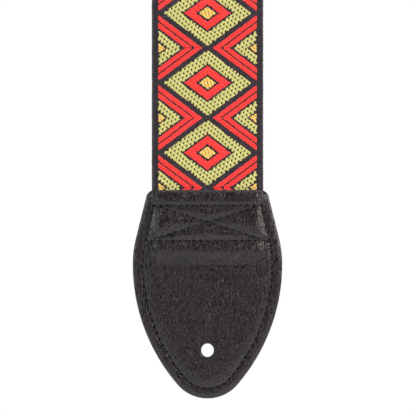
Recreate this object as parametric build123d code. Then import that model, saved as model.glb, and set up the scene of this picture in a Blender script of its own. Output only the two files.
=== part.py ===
"""An adjustable guitar strap, hung over a peg at its middle so that both legs hang straight down.

The front leg ends in a leather tab. The back leg passes a slide, turns round a rectangular ring and comes
back up to the slide's centre bar, where its end is sewn. The ring's lower bar carries the tail: a short loop
of webbing that ends in a second leather tab.

Row frame, millimetres: the origin is the centre of the bend over the peg, +X runs across the strap, +Y points
from the front leg to the back leg and +Z up.
"""

from build123d import *

import os
from math import cos, radians, sin, sqrt, tan

# Strap webbing: a patterned ribbon sewn along both edges to a plain backing.
STRAP_WIDTH = 50.8
RIBBON_THICK = 1.1
BACKING_THICK = 1.4
LAYER_GAP = 0.02
EDGE_SEAM_INSET = 2.0
EDGE_THREAD_WIDE = 0.6
THREAD_DEEP = 0.3

# Where the strap hangs, and how far each leg reaches below the centre of the bend.
PEG_RADIUS = 20.0
FRONT_TAB_DROP = 600.0
SLIDE_DROP = 95.0
RING_DROP = 345.0

# Leather tabs: straight shoulders that lean outward, then three arcs round to the tip.
TAB_MARGIN = 8.85
TAB_LENGTH = 95.5
TAB_WIDEST_AT = 34.0
TAB_TIP_RADIUS = 18.0
TAB_SHOULDER_RADIUS = 50.0
TAB_LEAN = 14.0
TAB_CORNER_RADIUS = 3.0
LEATHER_THICK = 2.0
POCKET_DEPTH = 26.0
POCKET_CLEARANCE = 0.2
SLOPE_BELOW = 8.0
SLOPE_BESIDE = 4.0
FLEX_LENGTH = 12.0
BUTTON_HOLE_RADIUS = 3.1
BUTTON_HOLE_AT = 73.4
SLIT_LENGTH = 11.0
SLIT_WIDTH = 0.4

# Tab seams, as depths below the tab's top edge or inside its outline.
TAB_SEAM_INSET = 5.0
TAB_THREAD_WIDE = 0.7
TAB_THREAD_DEEP = 0.5
SEAM_TOP_AT = 7.0
SEAM_BOTTOM_AT = 23.2

# Slide: two outer bars in front of the running strap, and a centre bar behind it that holds the sewn end.
SLIDE_CLEARANCE = 0.4
LOOP_CLEARANCE = 0.1
SIDE_CLEARANCE = 0.8
RAIL_WIDE = 4.6
RAIL_THICK = 3.6
OUTER_BAR_HIGH = 6.0
OUTER_BAR_THICK = 3.0
OUTER_BAR_REACH = 15.0
CENTRE_BAR_HIGH = 7.0
CENTRE_BAR_THICK = 3.2

# The strap's end, sewn to itself behind the slide.
FLAP_LENGTH = 48.0
FLAP_SEAM_TOP = 19.0
FLAP_SEAM_HIGH = 24.0
FLAP_SEAM_MARGIN = 5.4
LOOP_BEND_RADIUS = 7.0
SPAN_BEND_RADIUS = 50.0

# Ring: a rectangle of round wire.
RING_WIRE_RADIUS = 2.0
RING_CLEARANCE = 0.15
RING_PITCH = 13.0
RING_CORNER_RADIUS = 3.0
FOLD_REACH = 8.0

# Tail: a loop of plain backing round the ring's lower bar, sewn into the second tab.
TAIL_LOOP_DROP = 36.0

# Sizes that follow.
STRAP_THICK = RIBBON_THICK + BACKING_THICK
TAIL_THICK = 2 * BACKING_THICK + LAYER_GAP
TAB_HALF_WIDTH = STRAP_WIDTH / 2 + TAB_MARGIN
EDGE_SEAM_X = STRAP_WIDTH / 2 - EDGE_SEAM_INSET

# Heights.
FRONT_TAB_Z = -FRONT_TAB_DROP
SLIDE_Z = -SLIDE_DROP
RING_Z = -RING_DROP
LOWER_BAR_Z = RING_Z - RING_PITCH
TAIL_TAB_Z = LOWER_BAR_Z - TAIL_LOOP_DROP
FLAP_END_Z = SLIDE_Z - FLAP_LENGTH
CENTRE_BAR_END = (CENTRE_BAR_HIGH - CENTRE_BAR_THICK) / 2

# Places front to back. LEG_Y is where ribbon and backing meet in either leg.
LEG_Y = PEG_RADIUS + BACKING_THICK
LEG_MIDDLE_Y = LEG_Y + (RIBBON_THICK - BACKING_THICK) / 2
FOLD_RADIUS = RING_WIRE_RADIUS + RING_CLEARANCE + BACKING_THICK
RING_Y = LEG_Y - FOLD_RADIUS
RETURN_Y = RING_Y - FOLD_RADIUS
BAR_LOOP_RADIUS = CENTRE_BAR_THICK / 2 + LOOP_CLEARANCE + BACKING_THICK
FLAP_Y = LEG_Y - BACKING_THICK - SLIDE_CLEARANCE - RIBBON_THICK
CENTRE_BAR_Y = FLAP_Y - BAR_LOOP_RADIUS
BEHIND_BAR_Y = CENTRE_BAR_Y - BAR_LOOP_RADIUS
SEWN_Y = FLAP_Y - TAIL_THICK
OUTER_BAR_Y = LEG_Y + RIBBON_THICK + SLIDE_CLEARANCE + OUTER_BAR_THICK / 2


def joined(*curves):
    """One wire from curves given in order."""
    return Wire([edge for curve in curves for edge in curve.edges()])


def route(*points, radius=None):
    """Straight runs through points in the YZ plane, with tangent arcs of one radius at the corners."""
    placed = [(0, y, z) for y, z in points]
    if len(placed) == 2:
        return Line(*placed)
    return FilletPolyline(*placed, radius=radius)


def half_turn(y0, y1, z, up):
    """A half circle from y0 to y1 that starts and ends at height z."""
    middle = z + (1 if up else -1) * abs(y1 - y0) / 2
    return ThreePointArc((0, y0, z), (0, (y0 + y1) / 2, middle), (0, y1, z))


def strip(path, offset, thick, wide=STRAP_WIDTH, x=0.0):
    """A flat strip along a path that starts straight up or down, offset towards the path's inner side."""
    section = Plane(path @ 0, x_dir=(1, 0, 0), z_dir=path % 0) * Pos(x, offset) * Rectangle(wide, thick)
    return sweep(section, path=path)


def edge_seams(path, offset):
    """The two edge seams' threads along a path, on one face of the strap."""
    return [strip(path, offset, THREAD_DEEP, EDGE_THREAD_WIDE, x) for x in (-EDGE_SEAM_X, EDGE_SEAM_X)]


def sewn_strap(name, path):
    """Ribbon, backing and edge seams along one stretch of the strap, as nodes."""
    outer_threads = edge_seams(path, THREAD_DEEP / 2 - RIBBON_THICK)
    inner_threads = edge_seams(path, BACKING_THICK - THREAD_DEEP / 2)
    return {
        f"{name}_ribbon": strip(path, -RIBBON_THICK / 2, RIBBON_THICK) - outer_threads,
        f"{name}_backing": strip(path, BACKING_THICK / 2, BACKING_THICK) - inner_threads,
        f"{name}_edge_thread": Compound(outer_threads + inner_threads),
    }


def tab_outline(inset=0.0):
    """The tab's outline in XY, drawn down from its top edge at y = 0 and moved inward by inset."""
    half, tip = TAB_HALF_WIDTH, TAB_TIP_RADIUS
    tip_centre = TAB_LENGTH - tip
    drop = tip_centre - TAB_WIDEST_AT
    # The side arc's radius is the one that meets the tip's arc without a corner.
    side = (half**2 + drop**2 - tip**2) / (2 * (half - tip))
    reach = side - tip
    across, down = (side - half) / reach, drop / reach

    def on_side(cosine, sine):
        return half - side + (side - inset) * cosine, -(TAB_WIDEST_AT + (side - inset) * sine)

    def on_shoulder(angle):
        radius = TAB_SHOULDER_RADIUS - inset
        centre = half - TAB_SHOULDER_RADIUS
        return centre + radius * cos(radians(angle)), radius * sin(radians(angle)) - TAB_WIDEST_AT

    def mirrored(point):
        return -point[0], point[1]

    shoulder = on_shoulder(TAB_LEAN)
    top = (shoulder[0] - (-inset - shoulder[1]) * tan(radians(TAB_LEAN)), -inset)
    shoulder_points = [shoulder, on_shoulder(TAB_LEAN / 2), on_shoulder(0)]
    side_middle = on_side(sqrt((1 + across) / 2), sqrt((1 - across) / 2))
    side_points = [on_side(1, 0), side_middle, on_side(across, down)]
    tip_point = (0, inset - TAB_LENGTH)
    return joined(
        Line(mirrored(top), top),
        Line(top, shoulder),
        ThreePointArc(*shoulder_points),
        ThreePointArc(*side_points),
        ThreePointArc(side_points[2], tip_point, mirrored(side_points[2])),
        ThreePointArc(*[mirrored(point) for point in reversed(side_points)]),
        ThreePointArc(*[mirrored(point) for point in reversed(shoulder_points)]),
        Line(mirrored(shoulder), mirrored(top)),
    )


def tab_face():
    """The tab's outline as a face with its two top corners rounded."""
    face = make_face(tab_outline())
    corners = face.vertices().sort_by(Axis.Y)[-2:]
    return fillet(corners, TAB_CORNER_RADIUS)


def seam_bar(start, end, wide):
    """A straight seam from start to end, as a thin flat bar in XY."""
    line = Line(start, end)
    return Plane(line @ 0.5, x_dir=line % 0.5, z_dir=(0, 0, 1)) * Rectangle(line.length, wide)


def tab_seams():
    """The tab's seams, flat in XY: one round the edge, and the box under its top edge with its cross."""
    top, bottom = -SEAM_TOP_AT, -SEAM_BOTTOM_AT
    below_top = Pos(0, top - TAB_LENGTH / 2) * Rectangle(4 * TAB_HALF_WIDTH, TAB_LENGTH)
    inside = make_face(tab_outline(TAB_SEAM_INSET)) & below_top
    seams = inside - offset(inside, -TAB_THREAD_WIDE, kind=Kind.INTERSECTION)
    half = inside.edges().sort_by(Axis.Y)[-1].length / 2
    lines = [
        ((-TAB_HALF_WIDTH, bottom), (TAB_HALF_WIDTH, bottom)),
        ((-half, top), (half, bottom)),
        ((half, top), (-half, bottom)),
    ]
    for start, end in lines:
        seams += seam_bar(start, end, TAB_THREAD_WIDE) & inside
    return seams


def leather_panel(core_thick):
    """One leather panel in XY, inner face at z = 0, raised where it covers half of the strap's end."""
    half_core = STRAP_WIDTH / 2 + POCKET_CLEARANCE
    foot = Rectangle(2 * (half_core + SLOPE_BESIDE), 2 * (POCKET_DEPTH + SLOPE_BELOW))
    crest = Rectangle(2 * half_core, 2 * POCKET_DEPTH)
    raised = loft([Pos(0, 0, LEATHER_THICK) * foot, Pos(0, 0, LEATHER_THICK + core_thick / 2) * crest])
    face = tab_face()
    panel = extrude(face, amount=LEATHER_THICK) + (raised & extrude(face, amount=LEATHER_THICK + core_thick))
    pocket = Pos(0, -POCKET_DEPTH / 2, 0) * Box(2 * half_core, POCKET_DEPTH, core_thick)
    through = 4 * LEATHER_THICK
    hole = Pos(0, -BUTTON_HOLE_AT, 0) * Cylinder(BUTTON_HOLE_RADIUS, through)
    slit_top = SLIT_LENGTH + BUTTON_HOLE_RADIUS
    slit = Pos(0, slit_top / 2 - BUTTON_HOLE_AT, 0) * Box(SLIT_WIDTH, slit_top, through)
    return panel - pocket - hole - slit


def stitched_tab(name, y, z, core_thick):
    """Leathers and threads of a tab with its top edge at height z, sewn over a core centred on y."""
    panel = leather_panel(core_thick)
    skin = panel - Pos(0, 0, -TAB_THREAD_DEEP) * panel
    thread = extrude(tab_seams(), amount=core_thick + 2 * LEATHER_THICK) & skin
    leather = panel - thread
    face = Location(Plane((0, y, z), x_dir=(1, 0, 0), z_dir=(0, -1, 0)))
    back = Location(Plane((0, y, z), x_dir=(-1, 0, 0), z_dir=(0, 1, 0)))
    return {
        f"{name}_face_leather": face * leather,
        f"{name}_back_leather": back * leather,
        f"{name}_needle_thread": face * thread,
        f"{name}_bobbin_thread": back * thread,
    }


def slide():
    """The moulded slide: outer bars in front of the strap, the centre bar behind it and slanted rails."""
    length = STRAP_WIDTH + 2 * SIDE_CLEARANCE + 2 * RAIL_WIDE
    rail_x = (length - RAIL_WIDE) / 2
    outer_bar = Box(length, OUTER_BAR_THICK, OUTER_BAR_HIGH)
    outer_bar = fillet(outer_bar.edges().filter_by(Axis.X), OUTER_BAR_THICK / 3)
    rounding = Rot(0, 90, 0) * Cylinder(CENTRE_BAR_THICK / 2, length)
    frame = Pos(0, CENTRE_BAR_Y, 0) * Box(length, CENTRE_BAR_THICK, 2 * CENTRE_BAR_END)
    for end in (-1, 1):
        frame += Pos(0, CENTRE_BAR_Y, end * CENTRE_BAR_END) * rounding
        frame += Pos(0, OUTER_BAR_Y, end * OUTER_BAR_REACH) * outer_bar
        slant = Line((0, CENTRE_BAR_Y, 0), (0, OUTER_BAR_Y, end * OUTER_BAR_REACH))
        along = Plane(slant @ 0.5, x_dir=(1, 0, 0), z_dir=slant % 0.5)
        rail = along * Box(RAIL_WIDE, RAIL_THICK, slant.length)
        for side in (-rail_x, rail_x):
            frame += Pos(side, 0, 0) * rail
    knuckle = Pos(0, CENTRE_BAR_Y, 0) * Rot(0, 90, 0) * Cylinder(RAIL_THICK / 2, RAIL_WIDE)
    for side in (-rail_x, rail_x):
        frame += Pos(side, 0, 0) * knuckle
    return Pos(0, 0, SLIDE_Z) * frame


def ring():
    """The rectangular ring: round wire bent at four corners, its upper bar inside the strap's fold."""
    half_x = STRAP_WIDTH / 2 + RING_CORNER_RADIUS
    centre = Plane((0, RING_Y, (RING_Z + LOWER_BAR_Z) / 2), x_dir=(1, 0, 0), z_dir=(0, -1, 0))
    path = (centre * RectangleRounded(2 * half_x, RING_PITCH, RING_CORNER_RADIUS)).wire()
    return sweep(Plane(path @ 0, z_dir=path % 0) * Circle(RING_WIRE_RADIUS), path=path)


def end_seams():
    """The box and cross that sews the strap's end to itself, sunk into the ribbon of both layers."""
    half_x, half_z = STRAP_WIDTH / 2 - FLAP_SEAM_MARGIN, FLAP_SEAM_HIGH / 2
    corners = [(-half_x, half_z), (half_x, half_z), (half_x, -half_z), (-half_x, -half_z)]
    sides = list(zip(corners, corners[1:] + corners[:1]))
    lines = sides + [(corners[0], corners[2]), (corners[1], corners[3])]
    flat = Sketch() + [seam_bar(start, end, TAB_THREAD_WIDE) for start, end in lines]
    middle = SLIDE_Z - FLAP_SEAM_TOP - half_z
    flap = Plane((0, FLAP_Y + RIBBON_THICK, middle), x_dir=(1, 0, 0), z_dir=(0, -1, 0))
    span = Plane((0, SEWN_Y - RIBBON_THICK, middle), x_dir=(1, 0, 0), z_dir=(0, 1, 0))
    return [extrude(face * flat, amount=THREAD_DEEP) for face in (flap, span)]


def tail_strips():
    """The tail's plain webbing: a loop round the ring's lower bar, and its two ends inside the tab."""
    layer = (BACKING_THICK + LAYER_GAP) / 2
    turn = RING_WIRE_RADIUS + RING_CLEARANCE + BACKING_THICK / 2
    foot = TAIL_TAB_Z - POCKET_DEPTH
    seam = TAIL_TAB_Z + FLEX_LENGTH
    spread_from = seam + TAIL_LOOP_DROP / 8
    spread_to = LOWER_BAR_Z - TAIL_LOOP_DROP / 4
    bend = {"radius": TAIL_LOOP_DROP / 2}
    rise = [(-layer, seam), (-layer, spread_from), (-turn, spread_to), (-turn, LOWER_BAR_Z)]
    up = [(RING_Y + y, z) for y, z in rise]
    down = [(RING_Y - y, z) for y, z in reversed(rise)]
    over = half_turn(RING_Y - turn, RING_Y + turn, LOWER_BAR_Z, up=True)
    ends = [route((RING_Y + side * layer, foot), (RING_Y + side * layer, seam)) for side in (-1, 1)]
    return {
        "tail_loop": strip(joined(route(*up, **bend), over, route(*down, **bend)), 0, BACKING_THICK),
        "tail_end": Compound([strip(path, 0, BACKING_THICK) for path in ends]),
    }


def strap_stretches():
    """The strap's path, cut into the stretches that belong to different bodies."""
    flex_z = FRONT_TAB_Z + FLEX_LENGTH
    fold_z = RING_Z + FOLD_REACH
    drift_z = (FLAP_END_Z + fold_z) / 2
    bar_top_z = SLIDE_Z + CENTRE_BAR_END
    bend_low = SLIDE_Z - CENTRE_BAR_HIGH / 2 - 3 * CENTRE_BAR_THICK
    bend_high = SLIDE_Z - CENTRE_BAR_HIGH / 2 - CENTRE_BAR_THICK / 2
    return {
        "front_end": route((-LEG_Y, FRONT_TAB_Z - POCKET_DEPTH), (-LEG_Y, flex_z)),
        "front_leg": route((-LEG_Y, flex_z), (-LEG_Y, 0)),
        "crown": half_turn(-LEG_Y, LEG_Y, 0, up=True),
        "back_leg": route((LEG_Y, 0), (LEG_Y, fold_z)),
        "ring_fold": joined(
            route((LEG_Y, fold_z), (LEG_Y, RING_Z)),
            half_turn(LEG_Y, RETURN_Y, RING_Z, up=False),
            route((RETURN_Y, RING_Z), (RETURN_Y, fold_z)),
        ),
        "return_span": route(
            (RETURN_Y, fold_z),
            (RETURN_Y, drift_z - FLAP_LENGTH / 2),
            (SEWN_Y, drift_z + FLAP_LENGTH / 2),
            (SEWN_Y, FLAP_END_Z),
            radius=SPAN_BEND_RADIUS,
        ),
        "end_loop": joined(
            route(
                (SEWN_Y, FLAP_END_Z),
                (SEWN_Y, bend_low),
                (BEHIND_BAR_Y, bend_high),
                (BEHIND_BAR_Y, bar_top_z),
                radius=LOOP_BEND_RADIUS,
            ),
            half_turn(BEHIND_BAR_Y, FLAP_Y, bar_top_z, up=True),
            route((FLAP_Y, bar_top_z), (FLAP_Y, FLAP_END_Z)),
        ),
    }


def build():
    """Every node by name."""
    nodes = {}
    for name, path in strap_stretches().items():
        nodes.update(sewn_strap(name, path))
    seams = end_seams()
    nodes["end_loop_ribbon"] -= seams
    nodes["end_loop_box_thread"] = Compound(seams)
    nodes.update(stitched_tab("front_tab", -LEG_MIDDLE_Y, FRONT_TAB_Z, STRAP_THICK))
    nodes.update(stitched_tab("tail_tab", RING_Y, TAIL_TAB_Z, TAIL_THICK))
    nodes.update(tail_strips())
    nodes["slide"] = slide()
    nodes["ring"] = ring()
    return nodes


os.makedirs("parts", exist_ok=True)
for node, shape in build().items():
    export_step(shape, f"parts/{node}.step")
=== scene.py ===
import math
from collections import namedtuple
from dataclasses import dataclass

import bpy
import numpy as np
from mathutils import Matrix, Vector, geometry


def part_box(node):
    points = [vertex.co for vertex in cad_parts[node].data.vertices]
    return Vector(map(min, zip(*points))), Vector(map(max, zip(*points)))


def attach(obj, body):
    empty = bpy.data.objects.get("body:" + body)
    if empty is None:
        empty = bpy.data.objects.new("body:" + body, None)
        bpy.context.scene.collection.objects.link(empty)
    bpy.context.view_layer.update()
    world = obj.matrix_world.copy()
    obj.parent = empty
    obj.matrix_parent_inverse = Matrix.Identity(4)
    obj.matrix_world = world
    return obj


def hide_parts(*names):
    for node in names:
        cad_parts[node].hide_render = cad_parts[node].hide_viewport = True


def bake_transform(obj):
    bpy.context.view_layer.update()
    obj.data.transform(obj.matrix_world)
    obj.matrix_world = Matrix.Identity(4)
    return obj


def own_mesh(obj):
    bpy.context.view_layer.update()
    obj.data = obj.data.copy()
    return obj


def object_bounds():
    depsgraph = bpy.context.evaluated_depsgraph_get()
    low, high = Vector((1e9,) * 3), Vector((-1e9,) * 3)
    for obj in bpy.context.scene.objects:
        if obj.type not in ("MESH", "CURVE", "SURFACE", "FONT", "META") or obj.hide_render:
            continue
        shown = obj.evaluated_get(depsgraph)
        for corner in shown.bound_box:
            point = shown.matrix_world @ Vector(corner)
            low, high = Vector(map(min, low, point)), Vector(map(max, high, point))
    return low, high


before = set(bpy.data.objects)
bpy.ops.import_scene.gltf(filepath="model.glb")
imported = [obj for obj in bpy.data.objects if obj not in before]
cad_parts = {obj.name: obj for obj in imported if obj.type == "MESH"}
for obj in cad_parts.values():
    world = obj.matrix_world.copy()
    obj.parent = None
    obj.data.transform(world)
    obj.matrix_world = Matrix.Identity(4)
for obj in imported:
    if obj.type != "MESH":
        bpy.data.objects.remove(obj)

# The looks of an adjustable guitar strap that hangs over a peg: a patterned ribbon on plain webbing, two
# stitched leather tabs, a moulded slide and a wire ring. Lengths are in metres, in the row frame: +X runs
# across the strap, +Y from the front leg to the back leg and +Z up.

bl_info = {
    "name": "Guitar Strap",
    "version": (1, 0, 0),
    "blender": (4, 5, 0),
    "location": "3D View > Sidebar > Strap",
    "description": "Weaves, sews and lights a guitar strap round its packed model",
    "category": "Add Mesh",
}

MM = 0.001
CAD_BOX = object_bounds()


# Sizes read from the packed model.

def low(node):
    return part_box(node)[0]


def high(node):
    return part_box(node)[1]


STRAP_WIDTH = high("crown_ribbon").x - low("crown_ribbon").x
LEG_Y = high("crown_backing").z
RIBBON_THICK = high("crown_ribbon").z - LEG_Y
BACKING_THICK = high("front_leg_backing").y - low("front_leg_backing").y
FOOT_Z = low("front_end_ribbon").z
FLEX_Z = low("front_leg_ribbon").z
TAB_Z = high("front_tab_face_leather").z
TAB_LENGTH = TAB_Z - low("front_tab_face_leather").z
TAB_HALF = high("front_tab_face_leather").x
TAB_BACK_Y = high("front_tab_face_leather").y
TAB_FACE_Y = low("front_tab_face_leather").y
FOLD_Z = low("back_leg_ribbon").z
RETURN_Y = low("ring_fold_ribbon").y + RIBBON_THICK
FOLD_RADIUS = (LEG_Y - RETURN_Y) / 2
RING_Z = low("ring_fold_ribbon").z + FOLD_RADIUS + RIBBON_THICK
RING_Y = (LEG_Y + RETURN_Y) / 2
SEWN_Y = high("return_span_ribbon").y
FLAP_END_Z = low("end_loop_ribbon").z
BEHIND_BAR_Y = low("end_loop_ribbon").y + RIBBON_THICK
FLAP_Y = high("end_loop_ribbon").y - RIBBON_THICK
BAR_LOOP_RADIUS = (FLAP_Y - BEHIND_BAR_Y) / 2
BAR_TOP_Z = high("end_loop_backing").z - BAR_LOOP_RADIUS
SLIDE_Z = (low("slide").z + high("slide").z) / 2
TAIL_TAB_Z = high("tail_tab_face_leather").z
TAIL_FOOT_Z = low("tail_end").z
TAIL_SEAM_Z = high("tail_end").z
TAIL_TURN = (high("tail_loop").y - low("tail_loop").y - BACKING_THICK) / 2
LOWER_BAR_Z = high("tail_loop").z - TAIL_TURN - BACKING_THICK / 2
STRAP_THICK = RIBBON_THICK + BACKING_THICK
LEATHER_THICK = TAB_BACK_Y - TAB_FACE_Y - STRAP_THICK / 2


# The sizes and colours that a user would change.

def length(name, description, default):
    return bpy.props.FloatProperty(
        name=name, description=description, default=default, unit="LENGTH", precision=5
    )


def colour(name, description, default):
    return bpy.props.FloatVectorProperty(
        name=name, description=description, default=default, subtype="COLOR", size=3, min=0.0, max=1.0
    )


class WeaveSettings(bpy.types.PropertyGroup):
    """The figured ribbon and the webbing under it."""

    motif_pitch: length("Motif pitch", "Distance along the strap from one lozenge to the next", 32.0 * MM)
    motif_start: length("Motif start", "Height of the lowest lozenge's middle above the front tab", 17.0 * MM)
    green_columns: bpy.props.IntProperty(
        name="Green columns", description="Columns that the green yarns drift over in one repeat", default=20
    )
    green_pitch: length("Green pitch", "Spacing of the green yarns across the strap", 0.80 * MM)
    satin_pitch: length("Satin pitch", "Spacing of the red and gold yarns across the strap", 0.60 * MM)
    yarn_height: length("Yarn height", "How far a figured yarn stands above the ground weave", 0.32 * MM)
    stitch_pitch: length("Edge stitch pitch", "Length of one stitch of the edge seams", 2.6 * MM)
    selvedge_pitch: length("Selvedge pitch", "Spacing of the weft's turns at the ribbon's edges", 0.85 * MM)
    green: colour("Green yarn", "Colour of the lozenges' wide bands", (0.50, 0.47, 0.155))
    red: colour("Red yarn", "Colour of the edge figures and the inner bands", (1.0, 0.026, 0.022))
    gold: colour("Gold yarn", "Colour of the small lozenges in the middle", (0.90, 0.50, 0.12))
    ground: colour("Ground", "Colour of the ribbon's black ground", (0.026, 0.018, 0.024))


class LeatherSettings(bpy.types.PropertyGroup):
    """The two button tabs."""

    grid: length("Grid", "Spacing of the leather's mesh", 0.62 * MM)
    stitch_pitch: length("Stitch pitch", "Spacing of the needle holes", 3.12 * MM)
    thread_width: length("Thread width", "Width of the sewing thread", 0.55 * MM)
    grain: length("Grain", "Size of one pebble of the grain", 0.95 * MM)
    tint: colour("Leather", "Colour of the leather", (0.0145, 0.0102, 0.0118))
    thread: colour("Thread", "Colour of the tabs' thread", (0.006, 0.006, 0.006))


class HardwareSettings(bpy.types.PropertyGroup):
    """The slide and the ring."""

    plastic: colour("Plastic", "Colour of the moulded slide", (0.012, 0.012, 0.013))
    coating: colour("Coating", "Colour of the ring's coating", (0.008, 0.008, 0.009))


class StageSettings(bpy.types.PropertyGroup):
    """Floor, lights and camera."""

    floor_drop: length("Floor drop", "Distance from the strap's lowest point to the floor", 0.2)
    floor_radius: length("Floor radius", "Radius of the floor", 2.2)
    view_height: length("View height", "Height of strap that the picture holds", 190.4 * MM)
    view_below_tab: length(
        "View below tab", "Distance from the front tab's top edge down to the picture's middle", 8.24 * MM
    )
    camera_distance: length("Camera distance", "Distance from the camera to the front leg", 3.0)


SETTINGS = {
    "strap_weave": WeaveSettings,
    "strap_leather": LeatherSettings,
    "strap_hardware": HardwareSettings,
    "strap_stage": StageSettings,
}


def weave():
    return bpy.context.scene.strap_weave


def leather():
    return bpy.context.scene.strap_leather


def hardware():
    return bpy.context.scene.strap_hardware


# Node trees, written as expressions.

class Value:
    """A socket that takes part in arithmetic: each operation adds a Math node to its tree."""

    def __init__(self, graph, socket):
        self.graph, self.socket = graph, socket

    def math(self, operation, *values):
        return self.graph.add("ShaderNodeMath", {"operation": operation}, dict(enumerate(values)))

    def __add__(self, other):
        return self.math("ADD", self, other)

    def __radd__(self, other):
        return self.math("ADD", other, self)

    def __sub__(self, other):
        return self.math("SUBTRACT", self, other)

    def __rsub__(self, other):
        return self.math("SUBTRACT", other, self)

    def __mul__(self, other):
        return self.math("MULTIPLY", self, other)

    def __rmul__(self, other):
        return self.math("MULTIPLY", other, self)

    def __truediv__(self, other):
        return self.math("DIVIDE", self, other)

    def __rtruediv__(self, other):
        return self.math("DIVIDE", other, self)

    def __abs__(self):
        return self.math("ABSOLUTE", self)

    def sine(self):
        return self.math("SINE", self)

    def fraction(self):
        return self.math("FRACT", self)

    def steps(self):
        return self.math("FLOOR", self)

    def larger(self, other):
        return self.math("MAXIMUM", self, other)

    def ramp(self, start, end, low_value=0.0, high_value=1.0):
        """Smoothly from low_value at start to high_value at end."""
        inputs = {"From Min": start, "From Max": end, "To Min": low_value, "To Max": high_value}
        settings = {"interpolation_type": "SMOOTHSTEP"}
        return self.graph.add("ShaderNodeMapRange", settings, {"Value": self, **inputs})


class Graph:
    """Adds nodes to one tree."""

    def __init__(self, tree):
        self.tree = tree

    def add(self, kind, settings=None, inputs=None, output=0):
        """A node of a kind: its settings first, then its sockets' values or links. Returns one output."""
        node = self.tree.nodes.new(kind)
        for name, setting in (settings or {}).items():
            setattr(node, name, setting)
        for name, value in (inputs or {}).items():
            self.feed(self.find(node.inputs, name), value)
        return Value(self, self.find(node.outputs, output)) if node.outputs else None

    @staticmethod
    def find(sockets, name):
        if isinstance(name, int):
            return sockets[name]
        return next(socket for socket in sockets if socket.name == name and socket.enabled)

    def feed(self, socket, value):
        if isinstance(value, Value):
            self.tree.links.new(value.socket, socket)
        else:
            socket.default_value = value

    def mix(self, factor, a, b):
        """Colour a turning into colour b as factor goes from 0 to 1."""
        settings = {"data_type": "RGBA", "clamp_factor": True}
        return self.add("ShaderNodeMix", settings, {"Factor": factor, "A": a, "B": b}, "Result")

    def vector(self, operation, a, b):
        return self.add("ShaderNodeVectorMath", {"operation": operation}, {0: a, 1: b})

    def scaled(self, vector, factors):
        return self.vector("MULTIPLY", vector, factors)

    def noise(self, vector, scale, detail=2.0, roughness=0.5):
        inputs = {"Vector": vector, "Scale": scale, "Detail": detail, "Roughness": roughness}
        return self.add("ShaderNodeTexNoise", {"noise_dimensions": "3D"}, inputs)

    def bump(self, height, distance, strength):
        inputs = {"Height": height, "Distance": distance, "Strength": strength}
        return self.add("ShaderNodeBump", None, inputs)

    def axes(self, vector):
        """A vector's three parts."""
        node = self.add("ShaderNodeSeparateXYZ", None, {0: vector}).socket.node
        return [Value(self, socket) for socket in node.outputs]

    def piece_map(self, name):
        """Across and along a piece, from its own map."""
        return self.axes(self.add("ShaderNodeUVMap", {"uv_map": name}))[:2]

    def object_place(self):
        return self.add("ShaderNodeTexCoord", None, None, "Object")


def shade(rgb, factor=1.0):
    return tuple(min(1.0, part * factor) for part in rgb) + (1.0,)


# Materials.

def material(name, paint):
    """A material by name, made on first use. paint(graph) returns the shader's sockets by name."""
    if name in bpy.data.materials:
        return bpy.data.materials[name]
    made = bpy.data.materials.new(name)
    made.use_nodes = True
    made.node_tree.nodes.clear()
    graph = Graph(made.node_tree)
    surface = graph.add("ShaderNodeBsdfPrincipled", None, paint(graph))
    graph.add("ShaderNodeOutputMaterial", None, {"Surface": surface})
    return made


def painted(paint):
    """Turns a painting function into one that gives the material of the same name."""
    return lambda: material(paint.__name__, paint)


@painted
def ribbon_ground(graph):
    """Fine black warp-faced ground, with the weft's ribs and stray pale fibres."""
    warp_pitch, weft_pitch = 0.42 * MM, 0.66 * MM
    ground = weave().ground
    across, along = graph.piece_map("strip")
    column = (across / warp_pitch * math.tau).sine()
    row = (along / weft_pitch * math.tau + column * 1.3).sine()
    relief = column * 0.35 + row * 0.5
    place = graph.object_place()
    fibre = graph.noise(graph.scaled(place, (1.0, 1.0, 0.35)), 2600.0, 3.0, 0.6)
    cloud = graph.noise(place, 70.0, 2.0)
    base = graph.mix(fibre.ramp(0.45, 0.75), shade(ground, 0.7), shade(ground, 3.2))
    base = graph.mix(cloud.ramp(0.35, 0.75, 0.0, 0.35), base, shade(ground, 0.55))
    return {
        "Base Color": base,
        "Roughness": 0.62 + 0.25 * fibre,
        "Specular IOR Level": 0.3,
        "Sheen Weight": 0.03,
        "Sheen Roughness": 0.5,
        "Normal": graph.bump(relief + fibre, 0.12 * MM, 0.8),
    }


def yarn(name, rgb, contrast):
    """A figured yarn: two plies twisted together, with painted shade where it dives under its binding and
    down its sides, and a painted highlight along its crest.
    """
    def paint(graph):
        around, along = graph.piece_map("strand")
        tint = graph.add("ShaderNodeAttribute", {"attribute_name": "tint"}, None, "Fac")
        ply = (along * 3.0 * math.tau + around * 2.0 * math.tau).sine()
        # Painted light: lighter along the float's crest, darker down its sides and towards its ends, where it
        # dives under its binding.
        painted_crest_light = (around * math.pi).sine() * (0.35 + 0.65 * (along * math.pi).sine())
        fibre = graph.noise(graph.object_place(), 4200.0, 2.0, 0.6)
        light = painted_crest_light + contrast * (tint - 0.5) + 0.06 * ply + 0.25 * (fibre - 0.5)
        return {
            # The base colour runs from a shaded copy to a lit copy of the yarn's colour: painted shade and
            # painted highlight, with random tone per float.
            "Base Color": graph.mix(light.ramp(0.05, 0.85), shade(rgb, 0.42), shade(rgb, 1.25)),
            "Roughness": 0.55 + 0.2 * fibre,
            "Specular IOR Level": 0.35,
            "Sheen Weight": 0.15,
            "Sheen Roughness": 0.4,
            "Normal": graph.bump(ply * 0.5 + fibre, 0.05 * MM, 0.6),
        }
    return material(name, paint)


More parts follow.
